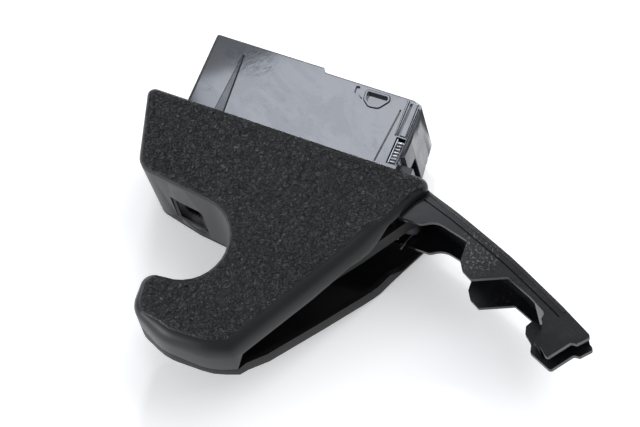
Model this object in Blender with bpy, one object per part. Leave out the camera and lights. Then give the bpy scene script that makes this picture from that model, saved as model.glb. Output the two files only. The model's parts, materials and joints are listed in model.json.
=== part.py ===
"""Pull-type car door handle: a hooked hollow grip that swings on a carrier plugged into the door.

Lengths below are millimetres and angles are degrees; meshes are scaled to metres when they are made.
Origin: centre of the raised pad on the carrier's door side. +X runs along the door edge towards
the retaining arm, +Y points into the door and +Z is the way the grained face looks.
"""
import math

import bmesh
import bpy
from mathutils import Matrix, Vector

# --- shared sizes -------------------------------------------------------------------------------
MM = 0.001
GAP = 0.3                    # clearance between pieces that touch
ARC_STEP = 12.0              # degrees per segment on rounded outlines
RUN_STEP = 9.0               # longest straight stretch between outline points

# grip
FACE_Z = 21.0                # grained face
SHELL_WALL = 2.4
COVER_WALL = 2.2
REAR_Z = -26.5               # flat part of the rear cover
REAR_TIP_Z = -3.4            # rear cover at the hook
REAR_BEND_Y = -68.0          # where the rear cover starts to rise towards the hook
REAR_TIP_Y = -130.0
FINGER_RADIUS = 17.6         # finger recess

# carrier
BOX_LEFT, BOX_RIGHT = -23.5, 67.0
BOX_BOTTOM = -50.0
BOX_HALF = 17.5              # half thickness of the box
BOX_WALL = 2.0
PAD_HALF = 23.2              # half width of the raised pad
PAD_STEP = 1.8               # the box steps down beside the pad

# lever and crank
PIVOT = (73.5, -41.2)
PIN_RADIUS = 2.5
PIN_HEAD_RADIUS = 4.0
PIN_HEAD_Z = 13.6
FORK_REACH = 16.0            # pivot to fork
CRANK_REACH = 12.0           # crank axis to its drive pin
LINE_ANGLE = 170.0           # direction from the pivot to the crank axis
GRIP_TRAVEL = 18.0
CRANK_TRAVEL = GRIP_TRAVEL * FORK_REACH / CRANK_REACH
CRANK = (
    PIVOT[0] + (FORK_REACH + CRANK_REACH) * math.cos(math.radians(LINE_ANGLE)),
    PIVOT[1] + (FORK_REACH + CRANK_REACH) * math.sin(math.radians(LINE_ANGLE)),
)

# arm
ARM_FRONT, ARM_BACK = 15.5, -14.5
ARM_WALL = 2.0
ARM_END_BACK = 0.5           # the end hook is a shorter block

MATERIALS = {                # base colour, roughness, metallic
    "grained_black": ((0.020, 0.020, 0.022), 0.50, 0.0),
    "satin_black": ((0.022, 0.022, 0.024), 0.38, 0.0),
    "gloss_black": ((0.025, 0.030, 0.038), 0.16, 0.0),
    "arm_black": ((0.022, 0.024, 0.028), 0.28, 0.0),
    "inner_black": ((0.030, 0.030, 0.032), 0.55, 0.0),
    "zinc_steel": ((0.55, 0.56, 0.58), 0.35, 1.0),
    "spring_steel": ((0.32, 0.33, 0.35), 0.30, 1.0),
    "brass": ((0.72, 0.53, 0.24), 0.35, 1.0),
    "natural_nylon": ((0.72, 0.70, 0.62), 0.45, 0.0),
    "rubber": ((0.030, 0.030, 0.030), 0.80, 0.0),
}


# --- helpers ------------------------------------------------------------------------------------
def clear_scene():
    for obj in list(bpy.data.objects):
        bpy.data.objects.remove(obj, do_unlink=True)


def material(name):
    found = bpy.data.materials.get(name)
    if found:
        return found
    made = bpy.data.materials.new(name)
    made.use_nodes = True
    shader = made.node_tree.nodes["Principled BSDF"]
    colour, roughness, metallic = MATERIALS[name]
    shader.inputs["Base Color"].default_value = (*colour, 1.0)
    shader.inputs["Roughness"].default_value = roughness
    shader.inputs["Metallic"].default_value = metallic
    return made


def place(name, bm, finish, axis=(0.0, 0.0)):
    """Turn a mesh drawn in millimetres into a named object whose origin is on the given axis."""
    bmesh.ops.recalc_face_normals(bm, faces=bm.faces)
    bmesh.ops.translate(bm, verts=bm.verts, vec=(-axis[0], -axis[1], 0))
    bmesh.ops.scale(bm, verts=bm.verts, vec=(MM, MM, MM))
    mesh = bpy.data.meshes.new(name)
    bm.to_mesh(mesh)
    bm.free()
    obj = bpy.data.objects.new(name, mesh)
    obj.location = (axis[0] * MM, axis[1] * MM, 0)
    bpy.context.collection.objects.link(obj)
    if finish:
        mesh.materials.append(material(finish))
    mesh.shade_smooth()
    mesh.set_sharp_from_angle(angle=math.radians(35))
    return obj


def combine(obj, bm, operation):
    """Cut a hidden tool out of an object, or weld it on."""
    tool = place(obj.name + "_" + operation.lower(), bm, None)
    tool.hide_render = True
    tool.display_type = "WIRE"
    modifier = obj.modifiers.new(tool.name, "BOOLEAN")
    modifier.operation = operation
    modifier.object = tool
    return obj


def cut(obj, *parts):
    for part in parts:
        combine(obj, part, "DIFFERENCE")
    return obj


def weld(obj, *parts):
    for part in parts:
        combine(obj, part, "UNION")
    return obj


def loft(rings):
    """Closed skin over rings of equal length, capped at both ends."""
    bm = bmesh.new()
    loops = [[bm.verts.new(point) for point in ring] for ring in rings]
    count = len(loops[0])
    for lower, upper in zip(loops, loops[1:]):
        for i in range(count):
            j = (i + 1) % count
            bm.faces.new((lower[i], lower[j], upper[j], upper[i]))
    bm.faces.new(loops[0])
    bm.faces.new(loops[-1])
    return bm


def flat_faced(bm):
    """Split bent faces into triangles, so that a Boolean meets only flat ones."""
    bm.normal_update()
    bmesh.ops.triangulate(bm, faces=bm.faces)
    return bm


def prism(outline, low, high):
    return loft([[(x, y, low) for x, y in outline], [(x, y, high) for x, y in outline]])


def block(x0, x1, y0, y1, z0, z1):
    return prism([(x0, y0), (x1, y0), (x1, y1), (x0, y1)], z0, z1)


def circle(centre, radius, segments=20):
    steps = [2 * math.pi * i / segments for i in range(segments)]
    return [(centre[0] + radius * math.cos(a), centre[1] + radius * math.sin(a)) for a in steps]


def post(centre, radius, low, high, segments=20):
    return prism(circle(centre, radius, segments), low, high)


def sleeve(centre, inner, outer, low, high, segments=24):
    """Round tube along Z."""
    rings = []
    for radius, z in ((inner, low), (outer, low), (outer, high), (inner, high)):
        rings.append([(x, y, z) for x, y in circle(centre, radius, segments)])
    bm = bmesh.new()
    loops = [[bm.verts.new(point) for point in ring] for ring in rings]
    for lower, upper in zip(loops, loops[1:] + loops[:1]):
        for i in range(segments):
            j = (i + 1) % segments
            bm.faces.new((lower[i], lower[j], upper[j], upper[i]))
    return bm


def along_y(bm, centre):
    """Lay a piece that was drawn along Z at the origin down along +Y, at a point."""
    bmesh.ops.rotate(bm, verts=bm.verts, matrix=Matrix.Rotation(math.radians(-90), 3, "X"))
    bmesh.ops.translate(bm, verts=bm.verts, vec=centre)
    return bm


def along_x(bm, centre):
    """Lay a piece that was drawn along Z at the origin down along +X, at a point."""
    bmesh.ops.rotate(bm, verts=bm.verts, matrix=Matrix.Rotation(math.radians(90), 3, "Y"))
    bmesh.ops.translate(bm, verts=bm.verts, vec=centre)
    return bm


def turned_about(bm, centre, degrees):
    spin = Matrix.Rotation(math.radians(degrees), 3, "Z")
    bmesh.ops.rotate(bm, verts=bm.verts, cent=(*centre, 0), matrix=spin)
    return bm


def polar(centre, radius, degrees):
    angle = math.radians(degrees)
    return (centre[0] + radius * math.cos(angle), centre[1] + radius * math.sin(angle))


def rounded(keys):
    """Outline with its corners rounded. A key is (x, y, corner radius, other values...)."""
    points = []
    for i, key in enumerate(keys):
        here = Vector(key[:2])
        to_last = (Vector(keys[i - 1][:2]) - here).normalized()
        to_next = (Vector(keys[(i + 1) % len(keys)][:2]) - here).normalized()
        half = to_last.angle(to_next) / 2
        radius = key[2]
        if radius == 0 or math.pi - 2 * half < math.radians(1):
            points.append((here.x, here.y, *key[3:]))
            continue
        centre = here + (to_last + to_next).normalized() * radius / math.sin(half)
        start = here + to_last * radius / math.tan(half) - centre
        turn = math.pi - 2 * half
        if to_last.cross(to_next) > 0:
            turn = -turn
        count = max(2, math.ceil(abs(math.degrees(turn)) / ARC_STEP))
        for k in range(count + 1):
            spoke = start.copy()
            spoke.rotate(Matrix.Rotation(turn * k / count, 2))
            points.append((centre.x + spoke.x, centre.y + spoke.y, *key[3:]))
    return points


def stepped(points):
    """Add points on long straight stretches, with the extra values changing evenly."""
    full = []
    for i, here in enumerate(points):
        after = points[(i + 1) % len(points)]
        count = max(1, math.ceil(math.dist(here[:2], after[:2]) / RUN_STEP))
        for k in range(count):
            t = k / count
            full.append(tuple(a + (b - a) * t for a, b in zip(here, after)))
    return full


def inset(points, amounts):
    """Outline moved inwards by a distance for each point."""
    moved = []
    for i, here in enumerate(points):
        last = points[i - 1]
        after = points[(i + 1) % len(points)]
        a = Vector((here[0] - last[0], here[1] - last[1])).normalized()
        b = Vector((after[0] - here[0], after[1] - here[1])).normalized()
        inward = (Vector((-a.y, a.x)) + Vector((-b.y, b.x))) / (1 + a.dot(b))
        moved.append((here[0] + inward.x * amounts[i], here[1] + inward.y * amounts[i]))
    return moved


# --- grip ---------------------------------------------------------------------------------------
def rear_level(y):
    """Height of the rear cover's outer face: flat behind the carrier, rising to the hook."""
    slope = (REAR_TIP_Z - REAR_Z) / (REAR_BEND_Y - REAR_TIP_Y)
    return max(REAR_Z, min(REAR_TIP_Z, REAR_Z + slope * (REAR_BEND_Y - y)))


# x, y, corner radius, edge radius, lower edge of the shell (None follows the rear cover), lean
GRIP_OUTLINE = (
    (-34.5, -31.3, 0.0, 2.0, 18.0, 0.0),
    (-39.7, -31.2, 3.0, 2.0, None, 0.0),
    (-29.8, -65.0, 8.0, 2.6, None, 1.6),
    (-9.0, -67.9, 0.0, 2.6, None, 0.0),
    (17.3, -71.7, FINGER_RADIUS, 2.8, None, 0.0),
    (17.3, -105.2, FINGER_RADIUS, 3.2, None, 0.0),
    (-9.2, -104.7, 5.5, 4.2, None, 0.0),
    (-9.0, -121.6, 9.0, 5.2, 5.0, 0.0),
    (7.0, -129.4, 22.0, 8.0, 4.2, 0.0),
    (27.0, -129.8, 22.0, 8.6, 2.6, 0.0),
    (36.6, -125.8, 0.0, 8.6, 2.0, 0.0),
    (38.6, -122.3, 0.0, 8.6, 11.0, 0.0),
    (55.6, -91.6, 90.0, 8.8, 10.8, 0.0),
    (66.9, -70.4, 90.0, 8.6, 10.6, 0.0),
    (70.6, -61.2, 0.0, 7.6, 11.4, 0.0),
    (73.2, -55.2, 0.0, 4.4, 16.3, 0.0),
    (79.5, -41.5, 0.0, 4.0, 16.4, 0.0),
    (85.6, -32.9, 3.6, 2.8, 16.6, 0.0),
    (78.0, -32.7, 0.0, 2.4, 18.0, 0.0),
)
COVER_LIP = 0.7              # least height of the rear cover's rim above its own inner face
LEAST_LIFT = COVER_WALL + COVER_LIP + GAP
OPEN_RIM = 8.5               # height of the cover's rim along the open side
OPEN_FLARE = 1.6             # the cover stands this far out of the outline along the open side
OPEN_TOP = 9.0               # where the shell ends above this height, the grip's side is open


def grip_points():
    """Grip outline points: x, y, edge radius, lift of the shell's lower edge, lean."""
    keys = []
    for x, y, corner, edge, low, lean in GRIP_OUTLINE:
        lift = LEAST_LIFT if low is None else low - rear_level(y)
        keys.append((x, y, corner, edge, lift, lean))
    return stepped(rounded(keys))


def skin_rings(points, edge, lift, lean, wall, face, flip, ground):
    """Rings of a dished shell: rounded outer edge, wall, then the same edge inside.

    The wall ends at a lift above the ground, which is the rear cover's outer face.
    """
    arc = (0.0, 22.5, 45.0, 67.5, 90.0)
    rings = []
    for angle in arc:
        a = math.radians(angle)
        sides = inset(points, [e * (1 - math.sin(a)) for e in edge])
        rings.append([(x, y, face - flip * e * (1 - math.cos(a))) for (x, y), e in zip(sides, edge)])
    for amounts in (lean, [value + wall for value in lean]):
        rings.append([(x, y, ground(y) + z) for (x, y), z in zip(inset(points, amounts), lift)])
    inner = [max(e - wall, 0.3) for e in edge]
    for angle in arc[::-2]:
        a = math.radians(angle)
        sides = inset(points, [wall + e * (1 - math.sin(a)) for e in inner])
        level = face - flip * wall
        rings.append([(x, y, level - flip * e * (1 - math.cos(a))) for (x, y), e in zip(sides, inner)])
    return rings


WALL_START = Vector((-22.8, -65.8))      # a point of the recess's straight side wall
WALL_TILT = -8.4                         # its direction in plan
WINDOW = (4.5, 19.5, -17.5, 1.5)         # access window: along the wall from, to, z from, to
SCREW_SPOTS = ((43.0, -87.0), (23.0, -107.5))
COVER_SCREWS = ((-28.6, -40.0), (32.0, -59.5))


def on_recess_wall(bm):
    """Move a piece drawn in the wall's own plane (x along it, y out of the solid) to its place."""
    bmesh.ops.rotate(bm, verts=bm.verts, matrix=Matrix.Rotation(math.radians(WALL_TILT), 3, "Z"))
    bmesh.ops.translate(bm, verts=bm.verts, vec=(WALL_START.x, WALL_START.y, 0))
    return bm


def grip_shell():
    points = grip_points()
    edge = [p[2] for p in points]
    lift = [p[3] for p in points]
    lean = [p[4] for p in points]
    rings = skin_rings(points, edge, lift, lean, SHELL_WALL, FACE_Z, 1, rear_level)
    shell = place("grip_front_shell", flat_faced(loft(rings)), "grained_black", PIVOT)
    u0, u1, z0, z1 = WINDOW
    cut(shell, on_recess_wall(block(u0, u1, -4.0, 5.0, z0, z1)))
    inside = FACE_Z - SHELL_WALL
    for spot in SCREW_SPOTS:
        weld(shell, post(spot, 3.6, 4.0 + GAP, inside + 0.8, 16))
        cut(shell, post(spot, 1.9, 2.0, inside - 3.0, 12))
    for spot in COVER_SCREWS:
        weld(shell, post(spot, 3.2, -14.0, inside + 0.8, 16))
        cut(shell, post(spot, 1.7, -16.0, 0.0, 12))
    return shell


def grip_rear_cover():
    points = grip_points()
    rises = []
    for x, y, _edge, lift, _lean in points:
        rise = lift - GAP
        if lift + rear_level(y) > OPEN_TOP:
            behind_arm = y > -56.0
            rise = COVER_WALL + COVER_LIP if behind_arm else min(OPEN_RIM, 2.0 - rear_level(y))
        rises.append(rise)
    flares = []
    for point, rise in zip(points, rises):
        is_open = point[3] + rear_level(point[1]) > OPEN_TOP and -120.0 < point[1] < -36.0
        flares.append(-OPEN_FLARE if is_open and point[0] > 37.0 else point[4])
    base = inset(points, flares)
    radii = [min(2.0, rise * 0.6) for rise in rises]
    straight = [0.0] * len(points)
    rings = skin_rings(base, radii, rises, straight, COVER_WALL, 0.0, -1, lambda y: 0.0)
    bm = loft(rings)
    bm.normal_update()
    geometry = bm.verts[:] + bm.edges[:] + bm.faces[:]
    bmesh.ops.bisect_plane(bm, geom=geometry, plane_co=(0, REAR_BEND_Y, 0), plane_no=(0, 1, 0))
    for vert in bm.verts:
        vert.co.z += rear_level(vert.co.y)
    cover = place("grip_rear_cover", flat_faced(bm), "satin_black", PIVOT)
    for spot in COVER_SCREWS:
        weld(cover, post(spot, 3.6, REAR_Z + 1.0, -14.0 - GAP, 16))
        cut(cover, post(spot, 1.9, REAR_Z - 2, -10.0, 12), post(spot, 3.2, REAR_Z - 2, REAR_Z + 2.6, 16))
    return cover


CORE_HALF = 4.0              # the lever core is this far either side of mid-plane
FORK_HALF = 2.0
HUB_RADIUS = 5.2
BUSH_WALL = 1.0


def grip_core():
    """Lever core: a bar from the pivot down to the hook, with a fork that works the crank."""
    path = (PIVOT, (60.0, -63.0), (43.0, -87.0), (20.0, -110.0))
    widths = (5.0, 4.6, 4.6, 4.0)
    left, right = [], []
    for i, point in enumerate(path):
        before = Vector(path[max(i - 1, 0)])
        after = Vector(path[min(i + 1, len(path) - 1)])
        along = (after - before).normalized()
        side = Vector((-along.y, along.x)) * widths[i]
        left.append((point[0] + side.x, point[1] + side.y))
        right.append((point[0] - side.x, point[1] - side.y))
    core = place("grip_lever_core", prism(left + right[::-1], -CORE_HALF, CORE_HALF), "inner_black", PIVOT)
    weld(core, post(PIVOT, HUB_RADIUS, -CORE_HALF, CORE_HALF, 28))
    rest = LINE_ANGLE - GRIP_TRAVEL / 2
    blade = block(PIVOT[0] + 3, PIVOT[0] + FORK_REACH + 3.5, PIVOT[1] - 3.8, PIVOT[1] + 3.8, -FORK_HALF, FORK_HALF)
    weld(core, turned_about(blade, PIVOT, rest))
    slot = block(PIVOT[0] + FORK_REACH - 3.2, PIVOT[0] + FORK_REACH + 6, PIVOT[1] - 2.4, PIVOT[1] + 2.4, -6, 6)
    cut(core, turned_about(slot, PIVOT, rest))
    cut(core, post(PIVOT, PIN_RADIUS + BUSH_WALL + GAP, -9, 9, 24))
    for spot in SCREW_SPOTS:
        cut(core, post(spot, 2.0, -9, 9, 12))
    for start, end in zip(path[1:], path[2:]):
        middle = ((start[0] + end[0]) / 2, (start[1] + end[1]) / 2)
        angle = math.degrees(math.atan2(end[1] - start[1], end[0] - start[0]))
        for low, high in ((1.6, 6.0), (-6.0, -1.6)):
            pocket = block(middle[0] - 9, middle[0] + 9, middle[1] - 2.2, middle[1] + 2.2, low, high)
            cut(core, turned_about(pocket, middle, angle))
    return core


def pivot_bushes():
    inner, outer = PIN_RADIUS + 0.1, PIN_RADIUS + BUSH_WALL
    place("pivot_bush_rear", sleeve(PIVOT, inner, outer, -CORE_HALF, -0.4), "natural_nylon", PIVOT)
    place("pivot_bush_front", sleeve(PIVOT, inner, outer, 0.4, CORE_HALF), "natural_nylon", PIVOT)


def pan_screw(spot, head_z, shank_end, head_radius, shank_radius, head_height=1.6):
    """Screw seen as one closed body, driven towards +Z."""
    profile = (
        (head_radius * 0.7, head_z - head_height),
        (head_radius, head_z - head_height * 0.45),
        (head_radius, head_z),
        (shank_radius, head_z),
        (shank_radius, shank_end - 1.0),
        (shank_radius * 0.4, shank_end),
    )
    rings = [[(x, y, z) for x, y in circle(spot, radius, 14)] for radius, z in profile]
    return loft(rings)


def core_screws():
    for i, spot in enumerate(SCREW_SPOTS, 1):
        screw = pan_screw(spot, -CORE_HALF - GAP, 13.0, 3.4, 1.6)
        place(f"core_screw_{i}", screw, "zinc_steel", PIVOT)


def cover_screws():
    for i, spot in enumerate(COVER_SCREWS, 1):
        screw = pan_screw(spot, REAR_Z + 2.3, -2.0, 2.8, 1.4, 1.5)
        place(f"cover_screw_{i}", screw, "zinc_steel", PIVOT)


def access_cap():
    """Dished blanking cap in the finger recess's window, with a half-round pry opening."""
    u0, u1, z0, z1 = WINDOW
    edge = GAP
    cap = place(
        "recess_access_cap",
        on_recess_wall(block(u0 + edge, u1 - edge, 0.6, 2.8, z0 + edge, z1 - edge)),
        "satin_black",
        PIVOT,
    )
    middle = (u0 + u1) / 2
    dish = block(u0 + 2.0, u1 - 2.0, -1.0, 1.4, z0 + 2.0, z1 - 2.0)
    cut(cap, on_recess_wall(dish))
    pry = post((0, 0), 4.6, -4.0, 6.0, 20)
    cut(cap, on_recess_wall(along_y(pry, (middle + 2.0, 0, -5.0))))
    return cap


# --- carrier ------------------------------------------------------------------------------------
END_FLARE = 1.6              # the end wall leans out over the part that shows
END_FOOT_Y = -19.0
BOX_OUTLINE = (
    (BOX_LEFT, BOX_BOTTOM, 1.5), (BOX_RIGHT, BOX_BOTTOM, 0.8), (BOX_RIGHT, END_FOOT_Y - 8.0, 0.0),
    (BOX_RIGHT + END_FLARE, END_FOOT_Y - 7.0, 0.0), (BOX_RIGHT + END_FLARE, END_FOOT_Y, 1.0),
    (BOX_RIGHT - 0.4, -3.2, 1.0), (62.4, -PAD_STEP, 1.5), (PAD_HALF + 1.4, -PAD_STEP, 0.0),
    (PAD_HALF, 0.0, 0.4), (BOX_LEFT, 0.0, 0.8),
)
NOTCH_FRONT = 5.6            # lever notch in the box's end wall and the arm's foot
NOTCH_REAR = -12.4
NOTCH_TOP = -32.0
ROD_WINDOW = (19.5, 32.0, -7.0, 8.0)
INSERT_X = 12.0
ARM_SCREW_Y = (-32.4, -44.6)
ARM_SCREW_Z = 9.0
END_WINDOW_TOP = -19.6       # opening in the end wall above the lever notch
END_WINDOW_REAR, END_WINDOW_FRONT = -14.6, 4.0


def carrier_housing():
    box = place("carrier_housing", prism(rounded(BOX_OUTLINE), -BOX_HALF, BOX_HALF), "gloss_black")
    inner = (
        (BOX_LEFT + BOX_WALL, BOX_BOTTOM - 3), (40.0, BOX_BOTTOM - 3), (40.0, BOX_BOTTOM + BOX_WALL),
        (BOX_RIGHT - BOX_WALL, BOX_BOTTOM + BOX_WALL), (BOX_RIGHT - BOX_WALL, -PAD_STEP - 4.0),
        (62.0, -PAD_STEP - BOX_WALL), (PAD_HALF, -PAD_STEP - BOX_WALL),
        (PAD_HALF - 1.5, -BOX_WALL - 1.0), (BOX_LEFT + BOX_WALL, -BOX_WALL - 1.0),
    )
    depth = BOX_HALF - BOX_WALL
    cut(box, prism(inner, -depth, depth))
    cut(box, block(BOX_RIGHT - 9, BOX_RIGHT + 3, BOX_BOTTOM - 2, NOTCH_TOP, NOTCH_REAR, NOTCH_FRONT))
    x0, x1, z0, z1 = ROD_WINDOW
    cut(box, block(x0, x1, -9.0, 3.0, z0, z1))
    for x in (-INSERT_X, INSERT_X):
        weld(box, along_y(post((0, 0), 5.0, 0, 9.5, 20), (x, -10.5, 0)))
        cut(box, along_y(post((0, 0), 3.1, 0, 14.0, 20), (x, -11.5, 0)))
    weld(box, sleeve(CRANK, PIN_RADIUS + 0.15, 5.0, -depth - 1.0, -7.4))
    cut(box, post(CRANK, PIN_RADIUS + 0.15, -BOX_HALF - 2, -6.0, 24))
    window = block(BOX_RIGHT - 3, BOX_RIGHT + 4, -40.0, END_WINDOW_TOP, END_WINDOW_REAR, END_WINDOW_FRONT)
    cut(box, window)
    for y in ARM_SCREW_Y:
        cut(box, along_x(post((0, 0), 1.7, 0, 8.0, 12), (BOX_RIGHT - 5, y, ARM_SCREW_Z)))
    cut(box, block(38.8, 41.4, -8.0, -3.6, 16.7, 19.0))
    cut(box, block(43.6, 53.4, -10.0, -4.2, 14.0, 19.0))
    cut(box, block(62.2, 66.6, -30.6, -18.8, 12.0, 19.0))
    for y, width in ((-13.0, 1.4), (-9.6, 1.4)):
        cut(box, block(BOX_RIGHT - 0.8, BOX_RIGHT + 2, y - width / 2, y + width / 2, -19.0, 12.0))
    for x0, x1 in ((57.6, 59.4), (60.2, 61.2)):
        cut(box, block(x0, x1, -31.0, -7.6, 17.0, 19.0))
    return box


def serrated_clip():
    """Spring-steel retaining clip, folded over a post at the box's end, with raised teeth."""
    clip = place("retaining_clip", block(62.6, 66.2, -30.2, -19.2, 12.4, 16.4), "spring_steel")
    for i in range(6):
        y = -28.9 + i * 1.75
        cut(clip, block(62.0, 67.0, y - 0.35, y + 0.35, 15.6, 17.4))
    return clip


def arm_outline():
    """Side outline of the arm, from its root at the pivot out along the convex edge and back."""
    return rounded((
        (70.2, -49.4, 0.6), (84.8, -49.8, 4.0), (90.0, -46.6, 8.0), (104.7, -50.4, 1.5),
        (105.4, -59.5, 1.2), (107.6, -62.9, 1.0), (112.0, -65.3, 1.0), (125.2, -59.6, 1.2),
        (137.0, -64.6, 20.0), (144.5, -69.0, 1.5), (143.4, -79.5, 1.0), (147.6, -82.2, 0.8),
        (152.1, -86.3, 1.2), (158.6, -77.2, 1.0), (161.0, -77.0, 0.6), (165.2, -72.2, 1.2),
        (149.6, -63.8, 120.0), (123.8, -51.2, 180.0), (97.2, -40.6, 180.0), (84.0, -36.2, 12.0),
        (78.0, -33.4, 6.0), (70.2, -33.2, 0.6),
    ))


def retaining_arm():
    outline = arm_outline()
    arm = place("retaining_arm", prism(outline, ARM_BACK, ARM_FRONT), "arm_black")
    # channel open towards the concave side, with the web along the convex edge
    hollow = rounded((
        (70.0, -60.0, 0.0), (100.0, -75.0, 0.0), (137.5, -78.0, 0.0), (139.5, -60.9, 1.0),
        (123.0, -53.9, 120.0), (96.6, -43.1, 120.0), (83.2, -38.9, 6.0), (78.0, -35.6, 3.0),
        (72.4, -35.2, 0.6), (72.4, -47.0, 0.0), (66.0, -47.0, 0.0),
    ))
    cut(arm, prism(hollow, ARM_BACK + ARM_WALL, ARM_FRONT - ARM_WALL))
    # the end hook is shallower: nothing of it lies behind mid-plane
    cut(arm, prism(((139.0, -95.0), (170.0, -95.0), (170.0, -62.0), (146.5, -58.0)), -20.0, ARM_END_BACK))
    cut(arm, prism(((146.6, -90.0), (170.0, -90.0), (170.0, -70.0), (160.0, -71.5), (147.5, -68.5)), 3.0, 13.0))
    foot_half = 14.0
    weld(arm, block(BOX_RIGHT + GAP, 72.6, BOX_BOTTOM, -28.2, -foot_half, foot_half))
    cut(arm, block(BOX_RIGHT - 2, 73.5, BOX_BOTTOM - 2, NOTCH_TOP, NOTCH_REAR, NOTCH_FRONT - 1.5))
    weld(arm, post(PIVOT, 6.0, CORE_HALF + GAP, ARM_FRONT - 1.0, 24))
    cut(arm, post(PIVOT, PIN_RADIUS + 0.15, -30, 30, 24))
    cut(arm, post(PIVOT, PIN_HEAD_RADIUS + GAP, PIN_HEAD_Z - GAP, 30, 24))
    for y in ARM_SCREW_Y:
        cut(arm, along_x(post((0, 0), 1.7, 0, 6.2, 12), (BOX_RIGHT - 2, y, ARM_SCREW_Z)))
    return arm


def arm_screws():
    """Screws driven from inside the box through its end wall into the arm's foot."""
    inner_face = BOX_RIGHT - BOX_WALL
    for i, y in enumerate(ARM_SCREW_Y, 1):
        screw = along_x(pan_screw((0, 0), -GAP, 5.7, 2.8, 1.4, 1.2), (inner_face, y, ARM_SCREW_Z))
        place(f"arm_screw_{i}", screw, "zinc_steel")


def pivot_pin():
    profile = ((2.1, -18.4), (2.5, -17.8), (2.5, -17.4), (1.9, -17.4), (1.9, -16.2), (2.5, -16.2),
               (2.5, PIN_HEAD_Z), (PIN_HEAD_RADIUS, PIN_HEAD_Z), (PIN_HEAD_RADIUS, 15.3), (3.5, 15.7))
    rings = [[(x, y, z) for x, y in circle(PIVOT, radius, 24)] for radius, z in profile]
    return place("pivot_pin", loft(rings), "zinc_steel")


def open_ring(centre, inner, outer, low, high, gap_degrees, turn):
    """Flat ring with an opening."""
    outline = []
    span = 360.0 - gap_degrees
    steps = 20
    for i in range(steps + 1):
        outline.append(polar(centre, outer, turn + gap_degrees / 2 + span * i / steps))
    for i in range(steps, -1, -1):
        outline.append(polar(centre, inner, turn + gap_degrees / 2 + span * i / steps))
    return prism(outline, low, high)


def pivot_clip():
    return place("pivot_e_clip", open_ring(PIVOT, 2.15, 5.2, -17.1, -16.5, 70.0, 200.0), "spring_steel")


def wire(points, radius, sides=8):
    """Round wire along a smooth path."""
    bm = bmesh.new()
    loops = []
    for i, point in enumerate(points):
        here = Vector(point)
        along = (Vector(points[min(i + 1, len(points) - 1)]) - Vector(points[max(i - 1, 0)])).normalized()
        across = along.cross(Vector((0, 0, 1))).normalized()
        other = across.cross(along)
        ring = []
        for k in range(sides):
            a = 2 * math.pi * k / sides
            ring.append(bm.verts.new(here + across * radius * math.cos(a) + other * radius * math.sin(a)))
        loops.append(ring)
    for lower, upper in zip(loops, loops[1:]):
        for k in range(sides):
            j = (k + 1) % sides
            bm.faces.new((lower[k], lower[j], upper[j], upper[k]))
    bm.faces.new(loops[0])
    bm.faces.new(loops[-1])
    return bm


def return_spring():
    """Torsion spring round the pivot pin, behind the lever hub, with a leg at each end."""
    coils, radius, wire_radius = 4, 4.3, 0.6
    low, high = -11.6, -5.2
    per_coil = 16
    first = 300.0                # where the coil begins; its end is 65 degrees short of a full turn on
    sweep = 360.0 * coils - 65.0
    count = round(coils * per_coil * sweep / (360.0 * coils))
    points = [polar(PIVOT, 11.0, first - 30.0) + (low,), polar(PIVOT, 7.4, first - 24.0) + (low,)]
    for i in range(count + 1):
        points.append(polar(PIVOT, radius, first + sweep * i / count) + (low + (high - low) * i / count,))
    points.append(polar(PIVOT, 7.4, first + sweep + 24.0) + (high,))
    points.append(polar(PIVOT, 10.0, first + sweep + 30.0) + (high,))
    return place("return_spring", wire(points, wire_radius, 6), "spring_steel")


def mounting_inserts():
    for i, x in enumerate((-INSERT_X, INSERT_X), 1):
        insert = along_y(sleeve((0, 0), 1.6, 2.85, 0, 8.5, 20), (x, -9.0, 0))
        place(f"mounting_insert_{i}", insert, "brass")


def stop_buffer():
    """Rubber block under the box that the lever core rests against."""
    outline = rounded(((46.5, -57.2, 1.5), (53.5, -58.6, 1.5), (56.5, -50.3, 0.0), (43.5, -50.3, 0.0)))
    return place("stop_buffer", prism(outline, -5.0, 5.0), "rubber")


# --- bell crank ---------------------------------------------------------------------------------
CRANK_LOW, CRANK_HIGH = -6.6, -2.6
ROD_REACH = 20.0
ROD_ANGLE = 176.0


def bell_crank():
    """Crank with a drive arm, whose peg sits in the lever's fork, and a longer rod arm."""
    drive_angle = LINE_ANGLE - 180.0 + CRANK_TRAVEL / 2
    peg = polar(CRANK, CRANK_REACH, drive_angle)
    crank = place("bell_crank", post(CRANK, 6.0, CRANK_LOW, 2.6, 24), "inner_black", CRANK)
    for reach, angle, half in ((CRANK_REACH + 2.6, drive_angle, 3.0), (ROD_REACH + 3.0, ROD_ANGLE, 3.4)):
        web = block(CRANK[0], CRANK[0] + reach, CRANK[1] - half, CRANK[1] + half, CRANK_LOW, CRANK_HIGH)
        weld(crank, turned_about(web, CRANK, angle))
    weld(crank, post(peg, 2.0, CRANK_LOW + 0.5, 2.4, 20))
    cut(crank, post(CRANK, PIN_RADIUS + BUSH_WALL + GAP, -12, 12, 24))
    cut(crank, post(polar(CRANK, ROD_REACH, ROD_ANGLE), 1.9, -12, 12, 16))
    return crank


def crank_bush():
    return place("crank_bush", sleeve(CRANK, PIN_RADIUS + 0.1, PIN_RADIUS + BUSH_WALL, CRANK_LOW, 2.6),
                 "natural_nylon", CRANK)


def crank_pin():
    profile = ((2.1, -17.3), (2.5, -16.9), (2.5, 4.6), (2.0, 5.1))
    rings = [[(x, y, z) for x, y in circle(CRANK, radius, 24)] for radius, z in profile]
    return place("crank_pin", loft(rings), "zinc_steel")


def crank_retainer():
    return place("crank_retainer", sleeve(CRANK, PIN_RADIUS + 0.05, 5.4, 2.95, 3.75), "spring_steel")


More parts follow.
